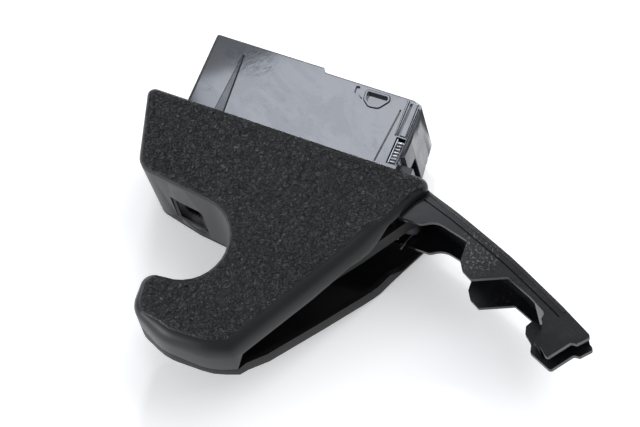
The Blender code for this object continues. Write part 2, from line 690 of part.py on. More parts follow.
def rod_clip():
    """Snap clip at the end of the rod arm, ready for the latch rod."""
    spot = polar(CRANK, ROD_REACH, ROD_ANGLE)
    clip = place("rod_clip", post(spot, 1.6, -8.0, -1.0, 16), "natural_nylon", CRANK)
    weld(clip, block(spot[0] - 3.4, spot[0] + 3.4, spot[1] - 4.5, spot[1] + 5.5, CRANK_HIGH + GAP, 2.4))
    cut(clip, along_y(post((0, 0), 1.5, 0, 14.0, 16), (spot[0], spot[1] - 6.0, 0.6)))
    cut(clip, block(spot[0] - 1.1, spot[0] + 1.1, spot[1] - 6.0, spot[1] + 7.0, 0.8, 4.0))
    return clip


def main():
    clear_scene()
    carrier_housing()
    retaining_arm()
    arm_screws()
    mounting_inserts()
    serrated_clip()
    pivot_pin()
    pivot_clip()
    return_spring()
    stop_buffer()
    crank_pin()
    crank_retainer()
    grip_shell()
    grip_rear_cover()
    grip_core()
    pivot_bushes()
    core_screws()
    cover_screws()
    access_cap()
    bell_crank()
    crank_bush()
    rod_clip()


main()
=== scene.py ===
"""Looks of a pull-type car door handle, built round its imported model.

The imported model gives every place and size; this file adds finer pieces, finishes, a floor, soft
light and a camera. Lengths here are millimetres in the model's own frame and are scaled when used.
"""
import json
import math

import bmesh
import bpy
from mathutils import Matrix, Vector, kdtree, noise


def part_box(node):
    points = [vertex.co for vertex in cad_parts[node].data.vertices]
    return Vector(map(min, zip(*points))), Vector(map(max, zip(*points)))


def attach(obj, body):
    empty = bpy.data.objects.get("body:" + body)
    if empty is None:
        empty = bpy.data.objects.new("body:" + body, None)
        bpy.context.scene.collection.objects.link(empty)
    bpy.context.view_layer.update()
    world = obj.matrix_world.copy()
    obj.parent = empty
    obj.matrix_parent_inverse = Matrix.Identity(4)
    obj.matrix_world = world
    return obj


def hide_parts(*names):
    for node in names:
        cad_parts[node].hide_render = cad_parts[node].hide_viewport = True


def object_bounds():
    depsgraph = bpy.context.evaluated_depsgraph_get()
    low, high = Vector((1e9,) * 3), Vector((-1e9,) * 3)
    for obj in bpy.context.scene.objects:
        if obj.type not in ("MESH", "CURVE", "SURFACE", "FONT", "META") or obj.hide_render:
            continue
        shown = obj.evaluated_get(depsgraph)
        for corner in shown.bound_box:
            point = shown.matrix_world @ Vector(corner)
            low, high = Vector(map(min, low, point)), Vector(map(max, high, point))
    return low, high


bl_info = {
    "name": "Car door handle looks",
    "version": (1, 0, 0),
    "blender": (4, 5, 0),
    "location": "3D View > Sidebar > Door handle",
    "description": "Fine pieces, finishes, floor and light for a pull-type car door handle",
    "category": "Object",
}

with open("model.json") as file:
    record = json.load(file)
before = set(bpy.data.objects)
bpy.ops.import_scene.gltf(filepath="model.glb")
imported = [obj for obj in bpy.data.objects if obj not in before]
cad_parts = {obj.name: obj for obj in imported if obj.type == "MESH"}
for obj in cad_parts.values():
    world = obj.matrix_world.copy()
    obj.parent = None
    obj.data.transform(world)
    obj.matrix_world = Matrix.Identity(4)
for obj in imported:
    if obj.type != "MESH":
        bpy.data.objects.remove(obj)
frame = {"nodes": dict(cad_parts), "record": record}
CAD_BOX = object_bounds()
NODES = frame["nodes"]
BODY_OF = {
    node: body
    for body, members in frame["record"]["behaviour"]["bodies"].items()
    for node in members
}
SLOT_OF = {row["node"]: row["material_slot"] for row in frame["record"]["subparts"]}

MM = 0.001
WELD = 0.00001               # vertices closer than this, in metres, are one
CREASE_ANGLE = math.radians(32)
BEVEL_ANGLE = math.radians(38)
WIRE_CREASE = math.radians(60)
FACE_Z = CAD_BOX[1].z / MM   # the grained face is the handle's highest part
FLOOR_Z = CAD_BOX[0].z / MM
BOX_LOW, BOX_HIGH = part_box("carrier_housing")
BOX_FRONT_Z = BOX_HIGH.z / MM
END_WALL_X = 67.0            # the box's flared end starts here
FLOW_MARK = (-6.0, -6.5)     # middle of the wavy mark on the box's front
RUB_X = 118.0                # the arm is scuffed on both sides of this place
TAB_PITS = (110.0, -53.0)    # middle of the pale pits on the arm's tab


# --- shader helpers -----------------------------------------------------------------------------
class Value:
    """A socket that holds one number and can be used in ordinary sums."""

    def __init__(self, finish, socket):
        self.finish = finish
        self.socket = socket

    def sum(self, operation, *terms):
        node = self.finish.node("ShaderNodeMath", {"operation": operation}, dict(enumerate(terms)))
        return Value(self.finish, node.outputs[0])

    def __add__(self, other):
        return self.sum("ADD", self, other)

    def __sub__(self, other):
        return self.sum("SUBTRACT", self, other)

    def __rsub__(self, other):
        return self.sum("SUBTRACT", other, self)

    def __mul__(self, other):
        return self.sum("MULTIPLY", self, other)

    __radd__ = __add__
    __rmul__ = __mul__

    def larger(self, other):
        return self.sum("MAXIMUM", self, other)

    def smaller(self, other):
        return self.sum("MINIMUM", self, other)

    def unsigned(self):
        return self.sum("ABSOLUTE", self)

    def ramp(self, low, high, start=0.0, end=1.0):
        """Smooth change from start to end while this value goes from low to high."""
        node = self.finish.node(
            "ShaderNodeMapRange",
            {"interpolation_type": "SMOOTHSTEP"},
            {"Value": self, "From Min": low, "From Max": high, "To Min": start, "To Max": end},
        )
        return Value(self.finish, node.outputs["Result"])


class Finish:
    """One material: a Principled surface and the patterns that feed it, in millimetres."""

    def __init__(self, name, **constants):
        self.material = bpy.data.materials.new(name)
        self.material.use_nodes = True
        self.tree = self.material.node_tree
        self.tree.nodes.clear()
        self.surface = self.node("ShaderNodeBsdfPrincipled", {}, constants)
        output = self.node("ShaderNodeOutputMaterial", {}, {})
        self.tree.links.new(self.surface.outputs[0], output.inputs["Surface"])
        place = self.node("ShaderNodeTexCoord", {}, {}).outputs["Object"]
        self.place = self.scaled(place, (1 / MM,) * 3)
        axes = self.node("ShaderNodeSeparateXYZ", {}, {"Vector": self.place}).outputs
        self.x, self.y, self.z = (Value(self, socket) for socket in axes)

    def node(self, kind, settings, inputs):
        """Add a node, give it its settings and then its sockets' values or links."""
        node = self.tree.nodes.new(kind)
        for key, setting in settings.items():
            setattr(node, key, setting)
        for key, value in inputs.items():
            if isinstance(value, Value):
                value = value.socket
            if isinstance(value, bpy.types.NodeSocket):
                self.tree.links.new(value, node.inputs[key])
            else:
                node.inputs[key].default_value = value
        return node

    def scaled(self, vector, factors):
        node = self.node("ShaderNodeVectorMath", {"operation": "MULTIPLY"}, {0: vector, 1: factors})
        return node.outputs[0]

    def turned(self, degrees, stretch):
        """Object position turned about Z and then squeezed along each axis."""
        turn = (0.0, 0.0, math.radians(degrees))
        node = self.node("ShaderNodeMapping", {}, {"Vector": self.place, "Rotation": turn})
        return self.scaled(node.outputs[0], stretch)

    def clouds(self, size, detail=4.0, rough=0.55, distortion=0.0, vector=None):
        """Noise from 0 to 1 whose blotches are about size millimetres across."""
        inputs = {
            "Vector": vector or self.place,
            "Scale": 1.0 / size,
            "Detail": detail,
            "Roughness": rough,
            "Distortion": distortion,
        }
        return Value(self, self.node("ShaderNodeTexNoise", {}, inputs).outputs["Fac"])

    def stirred(self, amount, size):
        """Object position pushed about by noise, so that cells lose their straight sides."""
        inputs = {"Vector": self.place, "Scale": 1.0 / size, "Detail": 2.0}
        push = self.node("ShaderNodeTexNoise", {}, inputs).outputs["Color"]
        push = self.scaled(push, (2.0 * amount,) * 3)
        node = self.node("ShaderNodeVectorMath", {"operation": "ADD"}, {0: self.place, 1: push})
        return node.outputs[0]

    def cells(self, size, feature="F1", vector=None):
        """Distance pattern of cells about size millimetres across."""
        inputs = {"Vector": vector or self.place, "Scale": 1.0 / size}
        node = self.node("ShaderNodeTexVoronoi", {"feature": feature}, inputs)
        return Value(self, node.outputs["Distance"])

    def slopes(self):
        """One on faces that lean away from straight up, nought on flat fronts and on upright walls."""
        normal = self.node("ShaderNodeTexCoord", {}, {}).outputs["Normal"]
        lean = self.node("ShaderNodeSeparateXYZ", {}, {"Vector": normal}).outputs["Z"]
        lean = Value(self, lean)
        return lean.ramp(0.08, 0.3) * lean.ramp(0.9, 0.985, 1.0, 0.0)

    def blend(self, first, second, factor):
        """Colour that changes from first to second with a factor."""
        inputs = {"Factor": factor, "A": first, "B": second}
        node = self.node("ShaderNodeMix", {"data_type": "RGBA"}, {})
        for socket in node.inputs:
            if socket.enabled and socket.name in inputs:
                self.feed(socket, inputs[socket.name])
        return next(socket for socket in node.outputs if socket.enabled)

    def feed(self, socket, value):
        if isinstance(value, Value):
            value = value.socket
        if isinstance(value, bpy.types.NodeSocket):
            self.tree.links.new(value, socket)
        else:
            socket.default_value = value

    def away(self, place, squeeze=1.0):
        """Squared distance across the handle's face from a place, with x counted for less."""
        across = self.x - place[0]
        along = self.y - place[1]
        return across * across * squeeze + along * along

    def bump(self, height, depth):
        """Bump of a height pattern that is depth millimetres high."""
        inputs = {"Height": height, "Distance": depth * MM, "Strength": 1.0}
        return self.node("ShaderNodeBump", {}, inputs).outputs[0]

    def wear(self, **feeds):
        """Feed the surface's varying sockets; an underscore stands for a space."""
        for name, value in feeds.items():
            self.feed(self.surface.inputs[name.replace("_", " ")], value)
        return self.material


def colour(values, gain=1.0):
    return (*(channel * gain for channel in values[:3]), 1.0)


# --- finishes -----------------------------------------------------------------------------------
def grained_finish(tints):
    """Leather-grained charcoal on the face, smooth satin on the rounded border and sides; painted shade in
    the creases and off the face, painted highlights on the crowns and in fine glints.
    """
    base = tints.shell
    finish = Finish("grained_black", **{"Specular IOR Level": 0.42, "IOR": 1.46})
    on_face = finish.z.ramp(FACE_Z - 1.1, FACE_Z - 0.15)
    stirred = finish.stirred(2.0, 3.4)
    valleys = finish.cells(2.5, "DISTANCE_TO_EDGE", stirred).ramp(0.0, 0.22)
    small = finish.clouds(2.0, 1.5, 0.5, 1.2)
    folds = finish.clouds(5.0, 1.0, 0.5, 0.8)
    grain = valleys * 0.25 + small.ramp(0.3, 0.7) * 0.55 + folds.ramp(0.3, 0.7) * 0.5
    crest_highlight = small.ramp(0.5, 0.68) * valleys
    painted_glints = finish.clouds(1.0, 1.0, 0.5, 0.5, finish.turned(-28.0, (1 / 2.8, 1 / 0.8, 1 / 2.0)))
    glint_patches = finish.clouds(20.0, 2.0).ramp(0.35, 0.62, 0.35, 1.0)
    painted_glints = painted_glints.ramp(0.6, 0.72) * glint_patches * on_face
    smudge = finish.clouds(26.0, 3.0)
    paint = finish.blend(colour(base, 0.75), colour(base, 1.3), smudge.ramp(0.3, 0.7))
    # painted shade: the creases between the pebbles are darkened
    paint = finish.blend(paint, colour(base, 0.15), (1.0 - valleys) * on_face * 0.8)
    # painted highlight: the pebbles' crowns are lightened
    paint = finish.blend(paint, colour(base, 1.8), crest_highlight * on_face * 0.4)
    # painted highlight: fine bright glints on the grain, shown in patches
    paint = finish.blend(paint, colour(base, 6.0), painted_glints * 0.5)
    # painted shade: everything off the flat face, the rounded border, the sides and the inside, is darkened
    paint = finish.blend(paint, colour(base, 0.6), (1.0 - on_face) * 0.5)
    gloss = 0.27 + (1.0 - crest_highlight) * on_face * 0.06 - painted_glints * 0.06 + smudge * 0.05 + (1.0 - on_face) * 0.07
    relief = finish.bump(grain * on_face, 1.3)
    return finish.wear(Base_Color=paint, Roughness=gloss, Normal=relief)


def scratches(finish, degrees, length, width, least):
    """Fine scratches along one direction, from 0 to 1."""
    along = finish.turned(degrees, (1.0 / length, 1.0 / width, 1.0 / length))
    lines = finish.clouds(1.0, 2.0, 0.5, 0.35, along)
    patches = finish.clouds(14.0, 2.0).ramp(0.46, 0.62)
    return lines.ramp(least, least + 0.05) * patches


def satin_finish(tints):
    """Satin moulding of the grip's rear: faint smudges, fine pores and a few scratches."""
    base = tints.satin
    finish = Finish("satin_black", **{"Specular IOR Level": 0.16})
    smudge = finish.clouds(18.0, 4.0)
    pores = finish.clouds(0.35, 2.0)
    marks = scratches(finish, 25.0, 9.0, 0.22, 0.66)
    paint = finish.blend(colour(base, 0.75), colour(base, 1.4), smudge.ramp(0.3, 0.7))
    paint = finish.blend(paint, colour(base, 3.0), marks * 0.4)
    gloss = 0.4 + smudge * 0.12 + pores * 0.06 + marks * 0.12
    relief = finish.bump(pores * 0.5 + finish.clouds(5.0, 2.0) - marks * 0.5, 0.03)
    return finish.wear(Base_Color=paint, Roughness=gloss, Normal=relief)


def polished_finish(tints):
    """Polished moulding: cloudy smudges, a wavy flow mark, a few hair scratches, dull edges that also carry
    painted shade.
    """
    base = tints.box
    finish = Finish("gloss_black", **{"Specular IOR Level": 0.3, "Coat Roughness": 0.075, "Coat IOR": 2.05})
    edges = finish.slopes()
    veil = finish.clouds(21.0, 4.0, 0.6, 0.9, finish.turned(35.0, (1 / 1.0, 1 / 0.55, 1 / 1.0)))
    haze = veil.ramp(0.40, 0.62)
    blots = finish.clouds(7.0, 5.0, 0.6, 1.0).ramp(0.55, 0.72)
    wavy = finish.clouds(1.0, 2.5, 0.55, 2.6, finish.turned(-52.0, (1 / 6.5, 1 / 1.1, 1 / 6.0)))
    flow = wavy.ramp(0.5, 0.62) * finish.away(FLOW_MARK, 0.4).ramp(20.0, 75.0, 1.0, 0.0)
    streaks = finish.clouds(1.0, 3.0, 0.6, 1.2, finish.turned(20.0, (1 / 12.0, 1 / 1.5, 1 / 9.0)))
    streaks = streaks.ramp(0.6, 0.72) * finish.clouds(17.0, 1.0).ramp(0.44, 0.6)
    hairs = scratches(finish, 62.0, 9.0, 0.14, 0.69) + scratches(finish, -20.0, 12.0, 0.15, 0.71)
    dust = finish.clouds(0.6, 2.0).ramp(0.7, 0.76)
    paint = finish.blend(colour(base, 0.9), colour(base, 1.5), haze)
    paint = finish.blend(paint, colour(base, 4.0), (hairs * 0.4 + dust * 0.2).smaller(1.0))
    # painted shade: faces that lean away from the front, and the rounded edges, are darkened
    paint = finish.blend(paint, colour(base, 0.35), edges)
    gloss = 0.2 + haze * 0.08 + streaks * 0.1 + hairs * 0.12 + edges * 0.3
    coat = 1.0 - haze * 0.14 - blots * 0.12 - streaks * 0.2 - flow * 0.42 - hairs * 0.2
    end_wall = finish.x.ramp(END_WALL_X - 0.3, END_WALL_X)
    on_rib = finish.z.ramp(BOX_FRONT_Z + 0.3, BOX_FRONT_Z + 0.6) * finish.x.ramp(0.0, 1.0, 1.0, 0.0)
    coat = ((coat - edges * 1.1 - on_rib * 0.5) * (1.0 - end_wall * 0.9)).larger(0.0)
    waves = finish.clouds(13.0, 2.0) + flow * 0.16 + streaks * 0.05 + finish.clouds(1.2, 2.0) * 0.015
    relief = finish.bump(waves, 0.15)
    return finish.wear(Base_Color=paint, Roughness=gloss, Coat_Weight=coat, Normal=relief)


def arm_finish(tints):
    """Semi-gloss moulding, scuffed where it slides past the door skin."""
    base = tints.arm
    finish = Finish("arm_black", **{"Specular IOR Level": 0.28, "Coat Roughness": 0.16, "Coat IOR": 1.5})
    smudge = finish.clouds(12.0, 5.0, 0.6)
    scuffs = finish.clouds(1.1, 5.0, 0.7).ramp(0.53, 0.68)
    reach = (finish.x - RUB_X).unsigned().ramp(26.0, 8.0)
    scuffs = scuffs * reach * finish.clouds(7.0, 2.0).ramp(0.4, 0.58)
    pits = finish.clouds(0.9, 2.0, 0.5, 0.6).ramp(0.56, 0.64)
    pits = pits * finish.away(TAB_PITS).ramp(30.0, 130.0, 1.0, 0.0)
    pits = pits * finish.z.ramp(15.0, 15.4)
    far_out = finish.x.ramp(100.0, 125.0)
    hairs = scratches(finish, 20.0, 8.0, 0.18, 0.62) + scratches(finish, -50.0, 5.0, 0.16, 0.64)
    paint = finish.blend(colour(base, 0.8), colour(base, 1.45), smudge.ramp(0.3, 0.7))
    paint = finish.blend(paint, colour(base, 6.0), (scuffs * 0.55 + hairs * 0.4).smaller(1.0))
    paint = finish.blend(paint, (0.20, 0.20, 0.21, 1.0), pits * 0.5)
    gloss = 0.24 + smudge * 0.1 + scuffs * 0.25 + hairs * 0.12 + pits * 0.2
    relief = finish.bump(finish.clouds(9.0, 2.0) - scuffs * 0.5 - hairs * 0.1 - pits, 0.12)
    coat = (0.3 - scuffs * 0.2 + smudge * 0.15 - far_out * 0.34).larger(0.0)
    return finish.wear(Base_Color=paint, Roughness=gloss, Coat_Weight=coat, Normal=relief)


def inner_finish(tints):
    """Glass-filled nylon: matt with short pale fibres just under the skin."""
    base = tints.satin
    finish = Finish("inner_black", **{"Specular IOR Level": 0.35})
    fibres = finish.clouds(1.0, 1.0, 0.5, 0.0, finish.turned(15.0, (1 / 1.6, 1 / 0.18, 1 / 0.4)))
    flow = finish.clouds(9.0, 4.0, 0.6, 1.2)
    paint = finish.blend(colour(base, 0.9), colour(base, 1.5), flow)
    paint = finish.blend(paint, colour(base, 3.2), fibres.ramp(0.62, 0.76) * 0.5)
    relief = finish.bump(fibres + flow, 0.04)
    return finish.wear(Base_Color=paint, Roughness=0.5 + flow * 0.16, Normal=relief)


def metal_finish(name, base, rough, line, tarnish):
    """Plated or drawn metal with drawing lines, dull patches and specks."""
    finish = Finish(name, **{"Metallic": 1.0})
    lines = finish.clouds(1.0, 3.0, 0.6, 0.0, finish.scaled(finish.place, (1 / line, 1 / line, 1 / 0.12)))
    dull = finish.clouds(3.5, 4.0, 0.6).ramp(0.42, 0.7)
    specks = finish.clouds(0.35, 2.0).ramp(0.66, 0.74)
    paint = finish.blend(colour(base), colour(base, 0.62), dull * 0.8)
    paint = finish.blend(paint, tarnish, specks * 0.5)
    gloss = rough + lines * 0.14 + dull * 0.16 + specks * 0.12
    relief = finish.bump(lines + dull * 0.4, 0.012)
    return finish.wear(Base_Color=paint, Roughness=gloss, Normal=relief)


def nylon_finish():
    """Natural nylon of the bushes, slightly waxy with faint flow clouds."""
    base = (0.70, 0.66, 0.55)
    finish = Finish("natural_nylon", **{"Specular IOR Level": 0.45, "Subsurface Weight": 0.08})
    flow = finish.clouds(3.0, 4.0, 0.6, 0.8)
    paint = finish.blend(colour(base, 0.85), colour(base, 1.05), flow)
    relief = finish.bump(finish.clouds(0.5, 3.0), 0.01)
    return finish.wear(Base_Color=paint, Roughness=0.36 + flow * 0.15, Normal=relief)


def rubber_finish():
    """Matt black rubber with a greyish bloom."""
    base = (0.022, 0.022, 0.023)
    finish = Finish("rubber", **{"Specular IOR Level": 0.3})
    bloom = finish.clouds(3.0, 4.0, 0.65).ramp(0.4, 0.75)
    pores = finish.cells(0.3).ramp(0.1, 0.6)
    paint = finish.blend(colour(base), colour(base, 2.6), bloom * 0.5)
    return finish.wear(Base_Color=paint, Roughness=0.68 + bloom * 0.2, Normal=finish.bump(pores, 0.02))


def floor_finish(tint):
    """Pale paper-like floor, lit a little from itself so that it stays even."""
    finish = Finish("pale_floor", **{"Specular IOR Level": 0.2, "Emission Strength": 0.33})
    paper = finish.clouds(3.0, 4.0)
    paint = finish.blend(colour(tint, 0.985), colour(tint), paper)
    return finish.wear(Base_Color=paint, Roughness=0.8 + paper * 0.1, Emission_Color=paint)


# --- mesh helpers -------------------------------------------------------------------------------
def shown(name, bm, node):
    """Make a piece of a mesh, in metres, that replaces a CAD node on its body and in its slot."""
    mesh = bpy.data.meshes.new(name)
    bm.to_mesh(mesh)
    bm.free()
    piece = bpy.data.objects.new(name, mesh)
    bpy.context.scene.collection.objects.link(piece)
    mesh.materials.append(material_of(SLOT_OF[node]))
    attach(piece, BODY_OF[node])
    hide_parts(node)
    return piece


def fine(node):
    """Piece with a CAD node's own shape, ready for softer edges."""
    return shown("fine_" + node, moulding(node), node)


def smooth(piece, angle=CREASE_ANGLE):
    """Smooth shading with a crease wherever two faces meet at more than an angle."""
    mesh = piece.data
    mesh.polygons.foreach_set("use_smooth", [True] * len(mesh.polygons))
    mesh.set_sharp_from_angle(angle=angle)


def rounded_edges(piece, width):
    """Small rounding on every sharp edge, with the flat faces kept flat to the light."""
    bevel = piece.modifiers.new("rounded edges", "BEVEL")
    bevel.width = width * MM
    bevel.segments = 2
    bevel.limit_method = "ANGLE"
    bevel.angle_limit = BEVEL_ANGLE
    bevel.use_clamp_overlap = True
    even = piece.modifiers.new("flat faces", "WEIGHTED_NORMAL")
    even.mode = "FACE_AREA"
    even.weight = 100
    even.keep_sharp = True


def prism(outline, low, high, slope=0.0):
    """Closed solid over an outline; a slope draws its upper edge in by that much on each side."""
    rings = [[(x, y, low) for x, y in outline]]
    if slope:
        rings.append([(x, y, high - slope) for x, y in outline])
        rings.append([(x, y, high) for x, y in inset(outline, slope * 0.8)])
    else:
        rings.append([(x, y, high) for x, y in outline])
    bm = bmesh.new()
    loops = [[bm.verts.new(Vector(point) * MM) for point in ring] for ring in rings]
    for lower, upper in zip(loops, loops[1:]):
        for i, start in enumerate(lower):
            j = (i + 1) % len(lower)
            bm.faces.new((start, lower[j], upper[j], upper[i]))
    return capped(bm, loops)


def capped(bm, loops):
    """Close both ends of a tube of loops."""
    bm.faces.new(loops[0])
    bm.faces.new(loops[-1])
    bmesh.ops.recalc_face_normals(bm, faces=bm.faces)
    return bm


def block(x0, x1, y0, y1, z0, z1, slope=0.0):
    return prism([(x0, y0), (x1, y0), (x1, y1), (x0, y1)], z0, z1, slope)


CUTTER_PAST = 3.0            # a cutter reaches this far past the surface it cuts


def sloped_cutter(start, end, front, size):
    """Solid that cuts a 45-degree slope along the front edge from start to end."""
    along = (Vector(end) - Vector(start)).normalized()
    out = Vector((-along.y, along.x, 0.0))
    past = CUTTER_PAST
    section = ((-size - 0.5, 0.5), (past, past), (past, -size - past), (0.0, -size))
    bm = bmesh.new()
    loops = []
    for point in (start, end):
        foot = Vector((*point, front))
        ring = [foot + out * u + Vector((0, 0, v)) for u, v in section]
        loops.append([bm.verts.new(corner * MM) for corner in ring])
    for i in range(4):
        j = (i + 1) % 4
        bm.faces.new((loops[0][i], loops[0][j], loops[1][j], loops[1][i]))
    return capped(bm, loops)


def inset(outline, amount):
    """Anticlockwise outline moved inwards by an amount, or outwards by a negative one."""
    moved = []
    for i, here in enumerate(outline):
        last = Vector(outline[i - 1])
        after = Vector(outline[(i + 1) % len(outline)])
        a = (Vector(here) - last).normalized()
        b = (after - Vector(here)).normalized()
        inward = (Vector((-a.y, a.x)) + Vector((-b.y, b.x))) / max(0.4, 1 + a.dot(b))
        moved.append((here[0] + inward.x * amount, here[1] + inward.y * amount))
    return moved


def rounded(keys, step=15.0):
    """Outline with its corners rounded; a key is x, y and the corner's radius."""
    points = []
    for i, (x, y, radius) in enumerate(keys):
        here = Vector((x, y))
        to_last = (Vector(keys[i - 1][:2]) - here).normalized()
        to_next = (Vector(keys[(i + 1) % len(keys)][:2]) - here).normalized()
        half = to_last.angle(to_next) / 2
        turn = math.pi - 2 * half
        if radius == 0 or turn < math.radians(1):
            points.append((x, y))
            continue
        centre = here + (to_last + to_next).normalized() * radius / math.sin(half)
        spoke = here + to_last * radius / math.tan(half) - centre
        if to_last.cross(to_next) > 0:
            turn = -turn
        count = max(2, math.ceil(abs(math.degrees(turn)) / step))
        for k in range(count + 1):
            arm = spoke.copy()
            arm.rotate(Matrix.Rotation(turn * k / count, 2))
            points.append(tuple(centre + arm))
    return points


def carve(piece, operation, *tools):
    """Join solids to a piece, or cut them out of it, and keep only the result."""
    for bm in tools:
        mesh = bpy.data.meshes.new("tool")
        bm.to_mesh(mesh)
        bm.free()
        tool = bpy.data.objects.new("tool", mesh)
        bpy.context.scene.collection.objects.link(tool)
        step = piece.modifiers.new("step", "BOOLEAN")
        step.operation = operation
        step.solver = "EXACT"
        step.object = tool
        graph = bpy.context.evaluated_depsgraph_get()
        result = bpy.data.meshes.new_from_object(piece.evaluated_get(graph))
        piece.modifiers.remove(step)
        piece.data = result
        bpy.data.objects.remove(tool)
        bpy.data.meshes.remove(mesh)


def moulding(node):
    """A CAD node's mesh with its corners joined, ready for finer work."""
    bm = bmesh.new()
    bm.from_mesh(NODES[node].data)
    bmesh.ops.remove_doubles(bm, verts=bm.verts, dist=WELD)
    return bm


def material_of(name):
    return bpy.data.materials[name]


# --- settings a user would change ---------------------------------------------------------------
class HandleTints(bpy.types.PropertyGroup):
    """Colours of the handle's plastics and of the floor."""

    shell: bpy.props.FloatVectorProperty(
        name="Grained shell", description="Colour of the grained grip", subtype="COLOR",
        size=3, min=0, max=1, default=(0.0075, 0.0085, 0.011))
    satin: bpy.props.FloatVectorProperty(
        name="Satin plastic", description="Colour of the grip's rear cover", subtype="COLOR",
        size=3, min=0, max=1, default=(0.0045, 0.0045, 0.0043))
    box: bpy.props.FloatVectorProperty(
        name="Carrier box", description="Colour of the polished carrier box", subtype="COLOR",
        size=3, min=0, max=1, default=(0.018, 0.022, 0.030))
    arm: bpy.props.FloatVectorProperty(
        name="Retaining arm", description="Colour of the retaining arm", subtype="COLOR",
        size=3, min=0, max=1, default=(0.006, 0.0062, 0.0075))
    floor: bpy.props.FloatVectorProperty(
        name="Floor", description="Colour of the floor", subtype="COLOR",
        size=3, min=0, max=1, default=(0.93, 0.93, 0.94))


class HandleSizes(bpy.types.PropertyGroup):
    """Sizes of the fine detail, in metres."""

    edge: bpy.props.FloatProperty(
        name="Edge rounding", description="Rounding of the moulded edges",
        unit="LENGTH", min=0, default=0.35 * MM)
    view_width: bpy.props.FloatProperty(
        name="View width", description="Width the camera sees at the handle",
        unit="LENGTH", min=0.01, default=256 * MM)


# --- operators ----------------------------------------------------------------------------------
METALS = (                   # name, colour, roughness, width of the drawing lines, tarnish
    ("zinc_steel", (0.62, 0.63, 0.65), 0.24, 0.9, (0.2, 0.19, 0.17, 1.0)),
    ("spring_steel", (0.09, 0.09, 0.10), 0.3, 0.5, (0.05, 0.04, 0.035, 1.0)),
    ("clip_steel", (0.46, 0.47, 0.50), 0.2, 0.5, (0.08, 0.06, 0.05, 1.0)),
    ("brass", (0.78, 0.58, 0.27), 0.22, 0.7, (0.25, 0.14, 0.05, 1.0)),
)


class HANDLE_OT_finishes(bpy.types.Operator):
    """Make the finish of every material slot"""

    bl_idname = "handle.finishes"
    bl_label = "Finishes"

    def execute(self, context):
        for material in list(bpy.data.materials):
            material.name = "cad_" + material.name
        tints = context.scene.handle_tints
        grained_finish(tints)
        satin_finish(tints)
        polished_finish(tints)
        arm_finish(tints)
        inner_finish(tints)
        for metal in METALS:
            metal_finish(*metal)
        nylon_finish()
        rubber_finish()
        return {"FINISHED"}


GRAIN_STEP = 0.75            # spacing of the mesh that the grain is pressed into
GRAIN_CELL = 2.3             # size of one pebble
GRAIN_DEPTH = 0.24
GRAIN_BORDER = 1.6           # the grain fades out over this width at the face's edge
GRAIN_STIR = 1.1             # the pebbles' places are pushed about by this much
GRAIN_STIR_SIZE = 3.4
CREASE_SHARE = 0.45          # width of a crease's slope, as a share of a pebble
CROWN_SHARE = 0.62           # the pebbles' part of the height; finer lumps are the rest
LUMP_SIZE = 1.3


def lies_in_front(face):
    """Whether all of a mesh face lies in the flat grained front."""
    return min(v.co.z for v in face.verts) > FACE_Z * MM - WELD


def grid_front(bm):
    """Cut the flat grained front into small squares."""
    corners = [v.co.copy() for f in bm.faces if lies_in_front(f) for v in f.verts]
    for axis in range(2):
        low = min(co[axis] for co in corners)
        high = max(co[axis] for co in corners)
        for i in range(1, int((high - low) / (GRAIN_STEP * MM))):
            place = Vector((0, 0, 0))
            place[axis] = low + i * GRAIN_STEP * MM
            out = Vector((0, 0, 0))
            out[axis] = 1.0
            geometry = crossed(bm, axis, place[axis])
            bmesh.ops.bisect_plane(bm, geom=geometry, plane_co=place, plane_no=out)


def crossed(bm, axis, level):
    """Front faces that a level along an axis passes through, with their edges and vertices."""
    faces = []
    for face in filter(lies_in_front, bm.faces):
        reach = [v.co[axis] for v in face.verts]
        if min(reach) < level < max(reach):
            faces.append(face)
    edges = {e for f in faces for e in f.edges}
    return faces + list(edges) + list({v for f in faces for v in f.verts})


def pebble(place):
    """Height of the leather grain at a place on the face, from 0 in a crease to 1 on a crown."""
    stir = noise.noise_vector(place / GRAIN_STIR_SIZE) * GRAIN_STIR
    near, second = noise.voronoi((place + stir) / GRAIN_CELL)[0][:2]
    crown = min(1.0, (second - near) / CREASE_SHARE)
    crown = crown * crown * (3 - 2 * crown)
    lumps = 0.5 + 0.5 * noise.noise(place / LUMP_SIZE)
    return CROWN_SHARE * crown + (1.0 - CROWN_SHARE) * lumps


def press_grain(bm):
    """Press the leather grain into the front, fading out towards its edge."""
    grid_front(bm)
    front = [v for v in bm.verts if v.co.z > FACE_Z * MM - WELD]
    inner = [v for v in front if all(lies_in_front(f) for f in v.link_faces)]
    rim = set(front) - set(inner)
    tree = kdtree.KDTree(len(rim))
    for i, vertex in enumerate(rim):
        tree.insert(vertex.co, i)
    tree.balance()
    for vertex in inner:
        fade = min(1.0, tree.find(vertex.co)[2] / (GRAIN_BORDER * MM))
        vertex.co.z -= GRAIN_DEPTH * MM * (1.0 - pebble(vertex.co / MM)) * fade


class HANDLE_OT_grip_shell(bpy.types.Operator):
    """Make the grained grip shell"""

    bl_idname = "handle.grip_shell"
    bl_label = "Grip shell"

    def execute(self, context):
        bm = moulding("grip_front_shell")
        press_grain(bm)
        piece = shown("grained_shell", bm, "grip_front_shell")
        smooth(piece)
        return {"FINISHED"}


class HANDLE_OT_rear_cover(bpy.types.Operator):
    """Make the grip's rear cover and its access cap"""

    bl_idname = "handle.rear_cover"
    bl_label = "Rear cover"

    def execute(self, context):
        for node in ("grip_rear_cover", "recess_access_cap"):
            smooth(fine(node))
        return {"FINISHED"}


